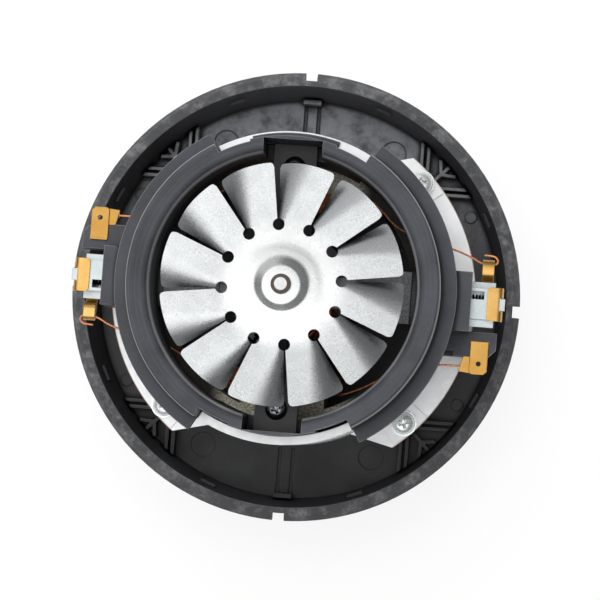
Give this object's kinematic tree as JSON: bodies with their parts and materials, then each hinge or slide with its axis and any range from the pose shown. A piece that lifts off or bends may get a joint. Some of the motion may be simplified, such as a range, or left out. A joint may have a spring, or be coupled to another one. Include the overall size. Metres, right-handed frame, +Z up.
{
  "type": "vacuum motor unit",
  "caption": "Round vacuum motor on a dished base, with an open cooling fan on top, sprung carbon brushes at both sides and a working fan under a pressed cover with an inlet eye.",
  "frame": {"origin": "on the shaft axis, at the flat bottom of the fan cover", "axes": "+Z up the shaft to the cooling fan, +X to one brush holder"},
  "size_m": [0.166, 0.166, 0.118],
  "materials": {
    "dish_plastic": "black moulded plastic with a fine grain",
    "frame_plastic": "charcoal moulded plastic with a fine grain",
    "cast_metal": "bright cast metal",
    "cover_steel": "plated pressed steel",
    "fan_sheet": "galvanised sheet",
    "impeller_sheet": "pressed sheet",
    "zinc": "zinc plated steel",
    "dark_screw": "dark glossy screw",
    "holder_steel": "plated sheet steel",
    "bearing_steel": "ground bearing steel",
    "cage_brass": "pressed brass cage",
    "shaft_steel": "turned steel",
    "core_steel": "varnished laminated steel",
    "copper": "enamelled copper",
    "bar_copper": "bare copper bars",
    "resin": "moulded resin",
    "brass": "stamped brass",
    "carbon": "pressed carbon",
    "spring_steel": "dark spring wire"
  },
  "bodies": {
    "frame": {"base_housing": "dish_plastic", "upper_frame": "frame_plastic", "bearing_bridge": "frame_plastic", "motor_bracket": "cast_metal", "fan_cover": "cover_steel", "bracket_screws": "zinc", "bracket_washers": "zinc", "through_bolts": "dark_screw", "brush_holder_right": "holder_steel", "brush_holder_left": "holder_steel", "wave_washer": "holder_steel", "upper_bearing_outer": "bearing_steel", "lower_bearing_outer": "bearing_steel", "field_core": "core_steel", "field_coil_front": "copper", "field_coil_rear": "copper", "supply_lead_right": "copper", "supply_lead_left": "copper", "brush_lead_right": "copper", "brush_lead_left": "copper", "brush_clip_right": "brass", "brush_clip_left": "brass", "brush_terminal_right": "brass", "brush_terminal_left": "brass", "supply_tab_right": "brass", "supply_tab_left": "brass", "brush_spring_right": "spring_steel", "brush_spring_left": "spring_steel"},
    "rotor": {"shaft": "shaft_steel", "armature_core": "core_steel", "armature_winding": "copper", "commutator_hub": "resin", "commutator_bars": "bar_copper", "upper_bearing_inner": "bearing_steel", "lower_bearing_inner": "bearing_steel", "cooling_fan": "fan_sheet", "fan_sleeve": "shaft_steel", "impeller_back_plate": "impeller_sheet", "impeller_vanes": "impeller_sheet", "impeller_shroud": "impeller_sheet", "impeller_spacer": "shaft_steel", "impeller_washer": "zinc", "impeller_nut": "zinc"},
    "brush_right": {"carbon_brush_right": "carbon"},
    "brush_left": {"carbon_brush_left": "carbon"},
    "upper_ball_set": {"upper_bearing_balls": "bearing_steel", "upper_bearing_cage": "cage_brass"},
    "lower_ball_set": {"lower_bearing_balls": "bearing_steel", "lower_bearing_cage": "cage_brass"}
  },
  "joints": [
    {"name": "rotor_spin", "type": "hinge", "parent": "frame", "child": "rotor", "pos_m": [0, 0, 0], "axis": [0, 0, 1], "continuous": true},
    {"name": "brush_right_slide", "type": "slide", "parent": "frame", "child": "brush_right", "axis": [1, 0, 0], "range_m": [0, 0.012], "stiffness_N_per_m": 100, "springref_m": -0.03, "deforming": ["brush_spring_right"]},
    {"name": "brush_left_slide", "type": "slide", "parent": "frame", "child": "brush_left", "axis": [-1, 0, 0], "range_m": [0, 0.012], "stiffness_N_per_m": 100, "springref_m": -0.03, "deforming": ["brush_spring_left"]},
    {"name": "upper_ball_orbit", "type": "hinge", "parent": "frame", "child": "upper_ball_set", "pos_m": [0, 0, 0], "axis": [0, 0, 1], "continuous": true},
    {"name": "lower_ball_orbit", "type": "hinge", "parent": "frame", "child": "lower_ball_set", "pos_m": [0, 0, 0], "axis": [0, 0, 1], "continuous": true}
  ],
  "couplings": [
    {"joint": "upper_ball_orbit", "follows": "rotor_spin", "ratio": 0.35},
    {"joint": "lower_ball_orbit", "follows": "rotor_spin", "ratio": 0.37}
  ]
}
